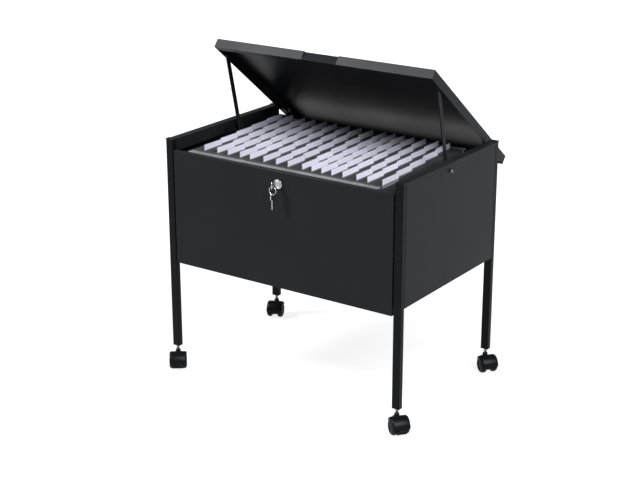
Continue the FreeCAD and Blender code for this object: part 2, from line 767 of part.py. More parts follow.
barrel_front = face_front + barrel_recess
barrel = rod_y(barrel_radius, barrel_front, cam_front, 0, lock_height)
barrel = barrel.cut(box(-keyway_half_width, keyway_half_width, barrel_front - 1,
                        barrel_front + keyway_depth, lock_height - keyway_half_height,
                        lock_height + keyway_half_height))
barrel = barrel.cut(rod_y(cam_screw_radius + slip, cam_front - 2, cam_front + 1, 0, lock_height))
save("lock_barrel", barrel)

# The cam rests pointing to -X. A quarter turn lifts its hook over the hem of the closed lid
cam = box(-cam_length, 0, cam_front, cam_front + cam_sheet, lock_height - cam_half_width,
          lock_height + cam_half_width)
cam = cam.fuse(box(-cam_length, -cam_length + cam_toe_height, cam_front, cam_front + cam_sheet,
                   lock_height, lock_height + cam_toe))
cam = cam.fuse(rod_y(cam_hub_radius, cam_front, cam_front + cam_sheet, 0, lock_height))
cam = cam.removeSplitter().cut(rod_y(cam_screw_radius + slip, cam_front - 1,
                                     cam_front + cam_sheet + 1, 0, lock_height))
save("lock_cam", cam)

screw_face = cam_front + cam_sheet
cam_screw = rod_y(cam_screw_radius, cam_front - cam_screw_depth, screw_face, 0, lock_height)
cam_screw = cam_screw.fuse(rod_y(cam_screw_head_radius, screw_face, screw_face + cam_screw_head,
                                 0, lock_height)).removeSplitter()
save("cam_screw", cam_screw)

# Keys: flat blanks in the YZ plane. One sits in the lock, the spare hangs from the ring

half_key = key_sheet / 2
blade = box(-half_key, half_key, face_front - key_neck, barrel_front + keyway_depth - key_tip_gap,
            lock_height - key_blade_height / 2, lock_height + key_blade_height / 2)
bow_back = face_front - key_neck
bow_front = bow_back - key_bow_length
bow = box(-half_key, half_key, bow_front, bow_back, lock_height - key_bow_width / 2,
          lock_height + key_bow_width / 2)
bow = round_edges(bow, key_bow_corner, lambda edge: edge.BoundBox.XLength > 1)
ring_y = bow_front + key_hole_inset
key = blade.fuse(bow).removeSplitter()
key = key.cut(rod_x(key_hole_radius, -5, 5, ring_y, lock_height))
save("key_in_lock", key)

ring_top = lock_height - key_hole_radius + ring_wire + ring_hang
ring_center = ring_top - ring_radius
ring_bottom = ring_center - ring_radius
key_ring = Part.makeTorus(ring_radius, ring_wire, V(0, ring_y, ring_center), V(0, 1, 0))
save("key_ring", key_ring)

spare_hole_z = ring_bottom - key_hole_radius + ring_wire + ring_hang
spare_top = spare_hole_z + key_hole_inset
spare_bow_bottom = spare_top - spare_bow
spare = box(-half_key, half_key, ring_y - spare_bow / 2, ring_y + spare_bow / 2,
            spare_bow_bottom, spare_top)
spare = round_edges(spare, spare_bow_corner, lambda edge: edge.BoundBox.XLength > 1)
spare = spare.fuse(box(-half_key, half_key, ring_y - spare_blade / 2, ring_y + spare_blade / 2,
                       spare_top - spare_length, spare_bow_bottom + 1)).removeSplitter()
spare = spare.cut(rod_x(key_hole_radius, -5, 5, ring_y, spare_hole_z))
save("spare_key", spare)

# Casters, built about a swivel axis at X = Y = 0 that trails towards +X

def placed(shape, corner):
    """Turn a caster piece to its resting direction and set it under its post."""
    copy = shape.copy()
    copy.rotate(V(0, 0, 0), V(0, 0, 1), caster_angles[corner])
    side = -1 if "left" in corner else 1
    end = -1 if "front" in corner else 1
    copy.translate(V(side * post_mid_x, end * post_mid_y, 0))
    return copy


def build_hood(braked):
    fender = rod_y(hood_radius, -hood_half_width, hood_half_width, trail, wheel_radius)
    fender = round_edges(fender, hood_edge, lambda edge: len(edge.Vertexes) == 1)
    fender = fender.cut(rod_y(wheel_radius + hood_clearance, -hood_half_width - 1,
                              hood_half_width + 1, trail, wheel_radius))
    fender = fender.cut(box(-20, 50, -30, 30, -10, hood_lower))
    fender = fender.cut(box(-20, trail - hood_front_inset, -30, 30, -10, hood_front_lower))
    web = rod_y(hood_body_radius, -hood_body_half_width, hood_body_half_width, trail,
                wheel_radius)
    web = web.cut(box(-20, 50, -30, 30, -10, hood_body_lower))
    crown = rod_y(wheel_radius + hood_clearance + crown_overlap, -hood_body_half_width,
                  hood_body_half_width, trail, wheel_radius)
    crown = crown.cut(box(-20, 50, -30, 30, -10, hood_lower))
    neck = rod_z(neck_radius, hood_lower, neck_top, 0, 0)
    hood = fender.fuse(web).fuse(crown).fuse(neck)
    if braked:
        lug = rod_y(pedal_lug_radius, -hood_body_half_width, hood_body_half_width, pedal_x,
                    pedal_z)
        arm = box(trail + pedal_arm_start, pedal_x, -hood_body_half_width, hood_body_half_width,
                  pedal_z - pedal_lug_radius, pedal_z + pedal_lug_radius)
        hood = hood.fuse(lug).fuse(arm)
        hood = hood.cut(rod_y(pedal_pin_radius + slip, -30, 30, pedal_x, pedal_z))
    hood = hood.removeSplitter()
    hood = hood.cut(rod_z(stem_radius + stem_swivel_fit, stem_bottom - stem_foot_gap,
                          neck_top + 1, 0, 0))
    hood = hood.cut(rod_y(axle_radius + slip, -30, 30, trail, wheel_radius))
    return hood


def build_wheel(side):
    y0 = wheel_inner if side > 0 else -wheel_outer
    wheel = rod_y(wheel_radius, y0, y0 + wheel_outer - wheel_inner, trail, wheel_radius)
    wheel = round_edges(wheel, wheel_edge, lambda edge: len(edge.Vertexes) == 1)
    recess_start = wheel_outer - hub_recess if side > 0 else -wheel_outer - 1
    wheel = wheel.cut(rod_y(hub_recess_radius, recess_start, recess_start + hub_recess + 1,
                            trail, wheel_radius))
    bore_end = axle_half_length + axle_end_gap
    bore_start = wheel_inner - 1 if side > 0 else -bore_end
    wheel = wheel.cut(rod_y(axle_radius + axle_fit, bore_start,
                            bore_start + bore_end - wheel_inner + 1, trail, wheel_radius))
    return wheel


def sector(inner, outer, half, start_angle, end_angle):
    """A curved slab about the axle between two angles, measured up from the trailing side."""
    ring = rod_y(outer, -half, half, trail, wheel_radius)
    ring = ring.cut(rod_y(inner, -half - 1, half + 1, trail, wheel_radius))
    far = 3 * outer
    low = math.radians(end_angle)
    high = math.radians(start_angle)
    points = [V(trail, -half - 1, wheel_radius),
              V(trail + far * math.cos(low), -half - 1, wheel_radius + far * math.sin(low)),
              V(trail + far * math.cos(high), -half - 1, wheel_radius + far * math.sin(high))]
    return ring.common(plate(points, V(0, 2 * half + 2, 0)))


def build_pedal():
    pedal = sector(pedal_inner, pedal_outer, pedal_half_width, pedal_upper_angle,
                   pedal_lower_angle)
    slot = hood_body_half_width + pedal_side_gap
    pedal = pedal.cut(rod_y(pedal_lug_radius + pedal_lug_gap, -slot, slot, pedal_x, pedal_z))
    pedal = pedal.cut(box(trail, trail + 2 * pedal_outer, -slot, slot,
                          pedal_z - pedal_lug_radius - pedal_lug_gap, wheel_radius + 5))
    pin = rod_y(pedal_pin_radius, -slot - pedal_pin_into, slot + pedal_pin_into, pedal_x, pedal_z)
    return pedal.fuse(pin).removeSplitter()


stem = rod_z(stem_radius, stem_bottom, leg_height + stem_insert, 0, 0)
axle = rod_y(axle_radius, -axle_half_length, axle_half_length, trail, wheel_radius)
pedal = build_pedal()
save("caster_stems", [placed(stem, corner) for corner in caster_angles])
for corner in caster_angles:
    braked = "front" in corner
    save(corner + "_caster_hood", placed(build_hood(braked), corner))
    save(corner + "_axle", placed(axle, corner))
    for side, word in ((1, "a"), (-1, "b")):
        save(corner + "_wheel_" + word, placed(build_wheel(side), corner))
    if braked:
        save(corner + "_brake_pedal", placed(pedal, corner))

# Files

pockets = []
bars = []
tabs = []
x = first_file_x
for gap in group_gaps:
    for place in range(tab_places):
        file_x = x - place * gap / tab_places
        half = pocket_thickness / 2
        pocket = box(file_x - half, file_x + half, -pocket_half_depth, pocket_half_depth,
                     pocket_bottom, pocket_top)
        pocket = pocket.cut(box(file_x - half + pocket_sheet, file_x + half - pocket_sheet,
                                -pocket_half_depth - 1, pocket_half_depth + 1,
                                pocket_bottom + pocket_sheet, pocket_top + 1))
        pockets.append(pocket)
        bar_outer = half - pocket_sheet - slip
        bar = box(file_x + bar_outer - bar_sheet, file_x + bar_outer, -bar_half_length,
                  bar_half_length, bar_bottom, bar_top)
        for end in (-1, 1):
            near = bar_notch_inner if end > 0 else -bar_notch_outer
            bar = bar.cut(box(file_x, file_x + half, near,
                              near + bar_notch_outer - bar_notch_inner, bar_bottom - 1,
                              hang_lip_top + bar_rest_gap))
        bars.append(bar)
        other = bar.copy()
        other.translate(V(-2 * bar_outer + bar_sheet, 0, 0))
        bars.append(other)
        middle = -tab_span + place * 2 * tab_span / (tab_places - 1)
        tabs.append(box(file_x + half, file_x + half + tab_sheet, middle - tab_width / 2,
                        middle + tab_width / 2, tab_bottom, tab_top))
    x -= gap
save("file_pockets", pockets)
save("file_bars", bars)
save("file_tabs", tabs)
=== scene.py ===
import math
import random

import bmesh
import bpy
from mathutils import Euler, Matrix, Vector


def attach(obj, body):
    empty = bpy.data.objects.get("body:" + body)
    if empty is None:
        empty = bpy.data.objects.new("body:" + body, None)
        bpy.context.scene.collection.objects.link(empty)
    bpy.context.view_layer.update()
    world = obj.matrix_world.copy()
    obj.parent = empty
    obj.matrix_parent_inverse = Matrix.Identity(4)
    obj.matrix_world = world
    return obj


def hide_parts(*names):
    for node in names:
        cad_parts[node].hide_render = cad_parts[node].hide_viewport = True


bl_info = {
    "name": "Hanging file cart",
    "version": (1, 0, 0),
    "blender": (4, 5, 0),
    "location": "3D View > Sidebar > File cart",
    "description": "Dresses the hanging file cart and sets its light and camera",
    "category": "Object",
}

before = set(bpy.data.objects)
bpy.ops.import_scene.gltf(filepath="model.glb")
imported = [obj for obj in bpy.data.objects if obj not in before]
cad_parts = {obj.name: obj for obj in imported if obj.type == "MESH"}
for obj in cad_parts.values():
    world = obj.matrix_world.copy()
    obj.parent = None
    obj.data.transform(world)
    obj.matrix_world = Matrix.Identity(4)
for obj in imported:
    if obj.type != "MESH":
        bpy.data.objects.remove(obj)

# Lengths are metres and angles degrees. Z is up and the front faces -Y.

# Frame places that the finer pieces need
half_width = 0.330
half_depth = 0.215
post_mid_x = 0.320
post_mid_y = 0.2075

# Acorn nuts on the outside of the side panels
nut_y = -0.012
nut_z = 0.568
nut_hex_radius = 0.0055
nut_hex_height = 0.003
nut_dome_radius = 0.0047
nut_dome_height = 0.004
nut_chamfer = 0.0006

# Casters, in their own frame: the swivel axis is X = Y = 0 and the wheels trail towards +X
trail = 0.015
wheel_radius = 0.020
wheel_inner = 0.0082
wheel_outer = 0.0212
tread_round = 0.003
hub_radius = 0.0115
hub_dish = 0.0015
tread_seam_radius = 0.0135
tread_seam_depth = 0.0005
hood_inner_radius = 0.0212
hood_outer_radius = 0.0230
# Half of the hood's section, as radius and distance to the side, from the inside round to the crown
hood_section = ((0.0212, 0.0170), (0.0206, 0.0192), (0.0196, 0.0206), (0.0198, 0.0210),
                (0.0214, 0.0204), (0.0225, 0.0190), (0.0230, 0.0170))
hood_start_angle = 0.0
hood_end_angle = 154.0
web_half_width = 0.0076
web_radius = 0.019
web_bottom = 0.012
neck_radius = 0.0062
neck_flare_radius = 0.0105
neck_flare_bottom = 0.036
neck_flare_top = 0.0405
neck_top = 0.0445
neck_bore_radius = 0.0041
pedal_inner_radius = 0.0214
pedal_outer_radius = 0.0238
pedal_half_width = 0.012
pedal_start_angle = -34.0
pedal_end_angle = -4.0
pedal_rib_angles = (-28.0, -22.0, -16.0, -10.0)
pedal_rib_height = 0.0005
pedal_rib_width = 0.0008
pedal_pin_radius = 0.0015
pedal_pin_distance = 0.0226
pedal_pin_angle = -10.0
caster_angles = {
    "left_front": -52.5,
    "right_front": -38.0,
    "right_rear": -38.0,
    "left_rear": -66.5,
}

# Lock face, keys and ring
lock_z = 0.531
key_front = -0.2415
key_back = -0.2215
key_tip = -0.2075
key_sheet = 0.002
key_edge = 0.00035
key_bow_half = 0.009
key_bow_corner = 0.007
key_neck_half = 0.0033
key_hole_radius = 0.0025
key_hole_y = -0.237
ring_radius = 0.009
ring_wire = 0.00045
ring_turns = 2
ring_center_z = 0.52065
spare_top = 0.5148
spare_bow = 0.016
spare_bow_corner = 0.006
spare_hole_z = 0.5103
spare_length = 0.040
spare_blade_half = 0.003
spare_cuts = (0.0011, 0.0004, 0.0015, 0.0008, 0.0013)
spare_cut_step = 0.0036

# Files: sixteen groups of five, the tab of each next file one place further back
tab_places = 5
first_file_x = 0.250
group_gaps = (0.039, 0.029, 0.037, 0.030, 0.027, 0.027, 0.026, 0.040, 0.033, 0.036, 0.039, 0.029,
              0.036, 0.031, 0.039, 0.033)
card_half = 0.00175
card_hem_half = 0.00035
card_sheet = 0.0004
card_half_depth = 0.183
card_bottom = 0.3222
card_top = 0.5602
card_hem_bottom = 0.548
card_fold = 0.006
card_wave = 0.0003
card_steps = 24
bar_x = 0.00105
bar_sheet = 0.0008
bar_half_length = 0.1995
bar_bottom = 0.5495
bar_top = 0.5598
bar_notch_inner = 0.1885
bar_notch_outer = 0.194
bar_notch_top = 0.5573
bar_edge = 0.0002
tab_span = 0.141
tab_sheet = 0.0008
tab_corner = 0.002
tab_bottom = 0.553
label_inset = 0.0012
label_sheet = 0.0003
label_bottom = 0.5612

# Camera, from lining the solids up with the photographed outline
camera_place = (1.8740, -2.7610, 1.4939)
camera_pitch = 19.146
camera_yaw = 34.646
camera_lens = 82.12


def to_linear(text):
    """Turn an sRGB hex colour into the linear values that shaders use."""
    parts = [int(text[i:i + 2], 16) / 255 for i in (1, 3, 5)]
    return tuple([part / 12.92 if part <= 0.04045 else ((part + 0.055) / 1.055) ** 2.4
                  for part in parts] + [1.0])


def add_node(tree, kind, settings=None, **inputs):
    """Add a shader node, set its properties, and fill or link its inputs by name or number."""
    node = tree.nodes.new(kind)
    for name, value in (settings or {}).items():
        setattr(node, name, value)
    for name, value in inputs.items():
        label = name.replace("_", " ")
        socket = node.inputs[int(label[2:])] if label.startswith("in") else node.inputs[label]
        if isinstance(value, bpy.types.NodeSocket):
            tree.links.new(value, socket)
        else:
            socket.default_value = value
    return node


def new_material(name):
    material = bpy.data.materials.new(name)
    material.use_nodes = True
    material.node_tree.nodes.clear()
    return material, material.node_tree


def finished(material, shader):
    """Send a shader to the material's output."""
    add_node(material.node_tree, "ShaderNodeOutputMaterial", Surface=shader.outputs[0])
    return material


def powder_coated_steel(name, thin, thick):
    """Mild steel with a baked black powder coat: a soft satin sheen over a faint orange peel."""
    material, tree = new_material(name)
    place = add_node(tree, "ShaderNodeTexCoord").outputs["Object"]
    # The peel is about 1 mm across, too fine for the render, so it is drawn at 3 mm
    peel = add_node(tree, "ShaderNodeTexNoise", Vector=place, Scale=1 / 0.003, Detail=2.0)
    # The film is a little thicker in some places than in others, over about 150 mm
    film = add_node(tree, "ShaderNodeTexNoise", Vector=place, Scale=1 / 0.150, Detail=3.0)
    tone = add_node(tree, "ShaderNodeMix", {"data_type": "RGBA"}, in0=film.outputs[0],
                    in6=thin, in7=thick)
    gloss = add_node(tree, "ShaderNodeMapRange", Value=film.outputs[0], From_Min=0.3, From_Max=0.7,
                     To_Min=0.33, To_Max=0.41)
    bump = add_node(tree, "ShaderNodeBump", Strength=0.12, Distance=0.0002, Height=peel.outputs[0])
    return finished(material, add_node(
        tree, "ShaderNodeBsdfPrincipled", Base_Color=tone.outputs[2], Roughness=gloss.outputs[0],
        IOR=1.45, Specular_IOR_Level=0.08, Normal=bump.outputs[0]))


def moulded_nylon(name, colour, roughness):
    """Injection-moulded black nylon: smooth and satin, with a faint moulded grain."""
    material, tree = new_material(name)
    place = add_node(tree, "ShaderNodeTexCoord").outputs["Object"]
    # Moulded grain is about 0.3 mm, drawn at 1.5 mm so that it shows
    grain = add_node(tree, "ShaderNodeTexNoise", Vector=place, Scale=1 / 0.0015, Detail=2.0)
    # Handling and dust leave patches of about 12 mm a little greyer and duller
    dust = add_node(tree, "ShaderNodeTexNoise", Vector=place, Scale=1 / 0.012, Detail=4.0)
    tone = add_node(tree, "ShaderNodeMix", {"data_type": "RGBA"}, in0=dust.outputs[0],
                    in6=(*[0.7 * part for part in colour[:3]], 1.0), in7=colour)
    gloss = add_node(tree, "ShaderNodeMapRange", Value=dust.outputs[0], From_Min=0.3,
                     From_Max=0.7, To_Min=roughness - 0.05, To_Max=roughness + 0.08)
    bump = add_node(tree, "ShaderNodeBump", Strength=0.15, Distance=0.0001,
                    Height=grain.outputs[0])
    return finished(material, add_node(
        tree, "ShaderNodeBsdfPrincipled", Base_Color=tone.outputs[2], Roughness=gloss.outputs[0],
        IOR=1.50, Specular_IOR_Level=0.10, Normal=bump.outputs[0]))


def plated_metal(name, colour, roughness, spread, scratch):
    """Plated steel or brass: a mirror softened by fine scratches and faint clouds."""
    material, tree = new_material(name)
    place = add_node(tree, "ShaderNodeTexCoord").outputs["Object"]
    long_way = add_node(tree, "ShaderNodeMapping", Vector=place, Scale=(1.0, 1.0, 0.08))
    # Fine scratches are under 0.1 mm wide, drawn at 0.8 mm so that they show
    scratches = add_node(tree, "ShaderNodeTexNoise", Vector=long_way.outputs[0], Scale=1 / 0.0008,
                         Detail=3.0)
    # The plating clouds over patches of about 5 mm
    cloud = add_node(tree, "ShaderNodeTexNoise", Vector=place, Scale=1 / 0.005, Detail=3.0)
    tone = add_node(tree, "ShaderNodeMix", {"data_type": "RGBA"}, in0=cloud.outputs[0],
                    in6=(*[0.82 * part for part in colour[:3]], 1.0), in7=colour)
    gloss = add_node(tree, "ShaderNodeMapRange", Value=cloud.outputs[0], From_Min=0.3,
                     From_Max=0.7, To_Min=roughness, To_Max=roughness + spread)
    bump = add_node(tree, "ShaderNodeBump", Strength=scratch, Distance=0.00005,
                    Height=scratches.outputs[0])
    return finished(material, add_node(
        tree, "ShaderNodeBsdfPrincipled", Base_Color=tone.outputs[2], Metallic=1.0,
        Roughness=gloss.outputs[0], Normal=bump.outputs[0]))


def pressed_card():
    """Dyed manilla card: a dull grey sheet with short fibres, each folder its own shade."""
    material, tree = new_material("pressed_card")
    colours = bpy.context.scene.file_cart_colours
    place = add_node(tree, "ShaderNodeTexCoord").outputs["Object"]
    # Fibres are 2 to 3 mm long and 0.1 mm wide, drawn 0.6 mm wide so that they show
    along = add_node(tree, "ShaderNodeMapping", Vector=place, Scale=(1.0, 0.25, 1.0))
    fibre = add_node(tree, "ShaderNodeTexNoise", Vector=along.outputs[0], Scale=1 / 0.0006,
                     Detail=4.0)
    shade = add_node(tree, "ShaderNodeAttribute", {"attribute_name": "shade"})
    light = add_node(tree, "ShaderNodeMath", {"operation": "MULTIPLY_ADD"},
                     in0=fibre.outputs[0], in1=0.35, in2=shade.outputs[2])
    tone = add_node(tree, "ShaderNodeMix", {"data_type": "RGBA"}, in0=light.outputs[0],
                    in6=to_linear("#141516"), in7=(*colours.card, 1.0))
    bump = add_node(tree, "ShaderNodeBump", Strength=0.3, Distance=0.0001,
                    Height=fibre.outputs[0])
    return finished(material, add_node(
        tree, "ShaderNodeBsdfPrincipled", Base_Color=tone.outputs[2], Roughness=0.75,
        Normal=bump.outputs[0]))


def label_paper():
    """Uncoated white paper behind the clear tab: matt, with a faint blue-violet brightener."""
    material, tree = new_material("label_paper")
    colours = bpy.context.scene.file_cart_colours
    place = add_node(tree, "ShaderNodeTexCoord").outputs["Object"]
    # Paper pulp clouds over about 3 mm
    pulp = add_node(tree, "ShaderNodeTexNoise", Vector=place, Scale=1 / 0.003, Detail=4.0)
    shade = add_node(tree, "ShaderNodeAttribute", {"attribute_name": "shade"})
    light = add_node(tree, "ShaderNodeMath", {"operation": "MULTIPLY_ADD"},
                     in0=pulp.outputs[0], in1=0.2, in2=shade.outputs[2])
    tone = add_node(tree, "ShaderNodeMix", {"data_type": "RGBA"}, in0=light.outputs[0],
                    in6=to_linear("#b9b8c8"), in7=(*colours.label, 1.0))
    bump = add_node(tree, "ShaderNodeBump", Strength=0.1, Distance=0.0001,
                    Height=pulp.outputs[0])
    return finished(material, add_node(
        tree, "ShaderNodeBsdfPrincipled", Base_Color=tone.outputs[2], Roughness=0.8,
        Normal=bump.outputs[0]))


def clear_film():
    """Folded clear polypropylene film: seen through, with a soft glossy skin."""
    material, tree = new_material("clear_film")
    place = add_node(tree, "ShaderNodeTexCoord").outputs["Object"]
    # Rolled film shows faint waves of about 6 mm
    wave = add_node(tree, "ShaderNodeTexNoise", Vector=place, Scale=1 / 0.006, Detail=1.0)
    gloss = add_node(tree, "ShaderNodeMapRange", Value=wave.outputs[0], From_Min=0.3,
                     From_Max=0.7, To_Min=0.14, To_Max=0.26)
    bump = add_node(tree, "ShaderNodeBump", Strength=0.1, Distance=0.0002,
                    Height=wave.outputs[0])
    return finished(material, add_node(
        tree, "ShaderNodeBsdfPrincipled", Base_Color=to_linear("#d4d3e2"),
        Roughness=gloss.outputs[0], IOR=1.49, Alpha=0.15, Normal=bump.outputs[0]))


def studio_floor():
    """Matt white paper sweep. It looks white to the camera and keeps the soft shadow."""
    material, tree = new_material("studio_floor")
    path = add_node(tree, "ShaderNodeLightPath")
    direct = add_node(tree, "ShaderNodeMath", {"operation": "MAXIMUM"},
                      in0=path.outputs["Is Camera Ray"], in1=path.outputs["Is Glossy Ray"])
    direct = add_node(tree, "ShaderNodeMath", {"operation": "MAXIMUM"},
                      in0=direct.outputs[0], in1=path.outputs["Is Transmission Ray"])
    lift = add_node(tree, "ShaderNodeMath", {"operation": "MULTIPLY"}, in0=direct.outputs[0],
                    in1=bpy.context.scene.file_cart_studio.floor_lift)
    return finished(material, add_node(
        tree, "ShaderNodeBsdfPrincipled", Base_Color=to_linear("#787878"), Roughness=0.9,
        Emission_Color=(1.0, 1.0, 1.0, 1.0), Emission_Strength=lift.outputs[0]))


def dress(names, material, rounding):
    """Give carried-over solids their finish, and round their edges by a small bevel."""
    for name in names:
        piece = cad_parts[name]
        piece.data.materials.clear()
        piece.data.materials.append(material)
        if rounding:
            weld = piece.modifiers.new("join", "WELD")
            weld.merge_threshold = 0.00001
            bevel = piece.modifiers.new("edges", "BEVEL")
            bevel.width = rounding
            bevel.segments = 2
            bevel.limit_method = "ANGLE"
            bevel.angle_limit = math.radians(50)
            bevel.harden_normals = True


def sharpened(mesh):
    """Smooth the rounds of a mesh and keep its folds sharp."""
    mesh.shade_smooth()
    mesh.set_sharp_from_angle(angle=math.radians(35))
    return mesh


def finish_mesh(name, build):
    """Turn a bmesh into a mesh whose faces all point outwards."""
    bmesh.ops.remove_doubles(build, verts=build.verts, dist=0.000001)
    bmesh.ops.recalc_face_normals(build, faces=build.faces)
    mesh = bpy.data.meshes.new(name)
    build.to_mesh(mesh)
    build.free()
    return sharpened(mesh)


def add_piece(name, mesh, material, body, replaced=()):
    """Put a mesh in the scene on one body, in place of the solids it stands for."""
    piece = bpy.data.objects.new(name, mesh)
    bpy.context.scene.collection.objects.link(piece)
    piece.data.materials.append(material)
    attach(piece, body)
    if replaced:
        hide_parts(*replaced)
    return piece


def round_off(piece, width, segments=2):
    bevel = piece.modifiers.new("edges", "BEVEL")
    bevel.width = width
    bevel.segments = segments
    bevel.limit_method = "ANGLE"
    bevel.angle_limit = math.radians(50)
    bevel.harden_normals = True


def add_loop_faces(build, loops, closed):
    """Join a run of equal vertex loops with faces."""
    count = len(loops[0])
    pairs = list(zip(loops, loops[1:]))
    if closed:
        pairs.append((loops[-1], loops[0]))
    for here, there in pairs:
        for i in range(count):
            j = (i + 1) % count
            build.faces.new((here[i], here[j], there[j], there[i]))


def add_turned(build, outline, steps, place=Matrix()):
    """Turn an outline of (radius, height) points about the local Z axis."""
    loops = []
    for step in range(steps):
        turn = Matrix.Rotation(2 * math.pi * step / steps, 4, "Z")
        loops.append([build.verts.new(place @ turn @ Vector((radius, 0, height)))
                      for radius, height in outline])
    add_loop_faces(build, loops, True)


def add_swept(build, outline, start, end, steps):
    """Sweep an outline of (radius, Y) points about the wheel axle, with closed ends."""
    loops = []
    for step in range(steps + 1):
        angle = math.radians(start + (end - start) * step / steps)
        loops.append([build.verts.new((trail + radius * math.cos(angle), y,
                                       wheel_radius + radius * math.sin(angle)))
                      for radius, y in outline])
    add_loop_faces(build, loops, False)
    build.faces.new(loops[0])
    build.faces.new(loops[-1])


def add_prism(build, outline, low, high, axis):
    """Push a flat outline from low to high along X (outline in Y, Z) or Y (outline in X, Z)."""
    ends = []
    for place in (low, high):
        if axis == "X":
            ends.append([build.verts.new((place, u, v)) for u, v in outline])
        else:
            ends.append([build.verts.new((u, place, v)) for u, v in outline])
    add_loop_faces(build, ends, False)
    build.faces.new(ends[0])
    build.faces.new(ends[1])


def rounded(corners, steps=5):
    """Replace each (u, v, radius) corner of a convex outline by a smooth turn."""
    points = []
    count = len(corners)
    for i, (u, v, radius) in enumerate(corners):
        here = Vector((u, v))
        before = (Vector(corners[i - 1][:2]) - here).normalized()
        after = (Vector(corners[(i + 1) % count][:2]) - here).normalized()
        if radius == 0:
            points.append((u, v))
            continue
        reach = radius / math.tan(before.angle(after) / 2)
        start = here + before * reach
        end = here + after * reach
        for step in range(steps + 1):
            t = step / steps
            point = start * (1 - t) ** 2 + here * 2 * t * (1 - t) + end * t ** 2
            points.append(tuple(point))
    return points


def flat_plate(name, outlines, thickness, edge):
    """A plate in the YZ plane at X = 0 with rounded edges. Later outlines are holes."""
    drawing = bpy.data.curves.new(name, "CURVE")
    drawing.dimensions = "2D"
    drawing.fill_mode = "BOTH"
    drawing.extrude = thickness / 2 - edge
    drawing.bevel_depth = edge
    drawing.bevel_resolution = 2
    drawing.offset = -edge
    for outline in outlines:
        line = drawing.splines.new("POLY")
        line.points.add(len(outline) - 1)
        for point, (u, v) in zip(line.points, outline):
            point.co = (u, v, 0, 1)
        line.use_cyclic_u = True
    holder = bpy.data.objects.new(name, drawing)
    mesh = bpy.data.meshes.new_from_object(holder)
    bpy.data.objects.remove(holder)
    bpy.data.curves.remove(drawing)
    mesh.transform(Matrix(((0, 0, 1, 0), (1, 0, 0, 0), (0, 1, 0, 0), (0, 0, 0, 1))))
    return sharpened(mesh)


def circle(u, v, radius, steps=24):
    return [(u + radius * math.cos(2 * math.pi * i / steps),
             v + radius * math.sin(2 * math.pi * i / steps)) for i in range(steps)]


class FileCartColours(bpy.types.PropertyGroup):
    """Colours of the cart that a user would change."""
    coat: bpy.props.FloatVectorProperty(
        name="Powder coat", description="Colour of the coated steel", subtype="COLOR",
        default=to_linear("#1e1f22")[:3], min=0.0, max=1.0)
    # The post coat is a blacker copy of the sheet's coat: painted shade on the posts
    tube: bpy.props.FloatVectorProperty(
        name="Post coat", description="Colour of the coated upright tubes", subtype="COLOR",
        default=to_linear("#101113")[:3], min=0.0, max=1.0)
    nylon: bpy.props.FloatVectorProperty(
        name="Caster nylon", description="Colour of the caster hoods", subtype="COLOR",
        default=to_linear("#0c0d0f")[:3], min=0.0, max=1.0)
    tread: bpy.props.FloatVectorProperty(
        name="Caster tread", description="Colour of the caster wheels", subtype="COLOR",
        default=to_linear("#0e0f11")[:3], min=0.0, max=1.0)
    card: bpy.props.FloatVectorProperty(
        name="Folder card", description="Colour of the folders", subtype="COLOR",
        default=to_linear("#38393c")[:3], min=0.0, max=1.0)
    label: bpy.props.FloatVectorProperty(
        name="Tab paper", description="Colour of the paper in the tabs", subtype="COLOR",
        default=to_linear("#e6e5f2")[:3], min=0.0, max=1.0)


class FileCartSizes(bpy.types.PropertyGroup):
    """Sizes of the cart that a user would change."""
    edge_rounding: bpy.props.FloatProperty(
        name="Edge rounding", description="Bevel on cut edges of sheet and tube",
        default=0.0004, min=0.0, max=0.001, unit="LENGTH", precision=5)
    tab_width: bpy.props.FloatProperty(
        name="Tab width", description="Width of each plastic tab", default=0.068, min=0.03,
        max=0.07, unit="LENGTH")
    tab_height: bpy.props.FloatProperty(
        name="Tab height", description="Height of each plastic tab", default=0.022, min=0.015,
        max=0.022, unit="LENGTH")


class FileCartStudio(bpy.types.PropertyGroup):
    """Light levels of the studio."""
    world_level: bpy.props.FloatProperty(
        name="Room light", description="Strength of the even light from all round",
        default=0.20, min=0.0, max=2.0)
    key_level: bpy.props.FloatProperty(
        name="Key light", description="Level of the broad soft light from the right",
        default=1.35, min=0.0, max=3.0)
    fill_level: bpy.props.FloatProperty(
        name="Fill light", description="Level of the soft light from the left",
        default=1.3, min=0.0, max=3.0)
    floor_lift: bpy.props.FloatProperty(
        name="Floor lift", description="How far the floor is lifted towards white",
        default=0.85, min=0.0, max=1.0)


class FILECART_OT_frame(bpy.types.Operator):
    """Finish the posts, rails, sheet panels and tray"""
    bl_idname = "filecart.frame"
    bl_label = "Frame and panels"

    def execute(self, context):
        edge = context.scene.file_cart_sizes.edge_rounding
        colours = context.scene.file_cart_colours
        coat = powder_coated_steel("powder_coated_steel", to_linear("#17181a"),
                                   (*colours.coat, 1.0))
        # The upright tubes get a blacker copy of the sheet's coat, which paints shade onto the posts
        tube = powder_coated_steel("shade_darkened_tube_coat", to_linear("#08090a"),
                                   (*colours.tube, 1.0))
        dress(("left_front_post", "left_rear_post", "right_front_post", "right_rear_post"),
              tube, edge)
        dress(("left_top_rail", "right_top_rail", "left_side_panel", "right_side_panel",
               "front_panel", "back_panel", "base_tray", "front_hanging_rail",
               "back_hanging_rail", "rivets"), coat, edge)
        dress(("post_caps", "caster_sockets", "panel_spacers"),
              moulded_nylon("moulded_nylon_cap", to_linear("#1a1b1d"), 0.38), edge)
        dress(("panel_screws",),
              plated_metal("zinc_plated_steel", to_linear("#aaabaf"), 0.28, 0.12, 0.2), 0.0)
        return {"FINISHED"}


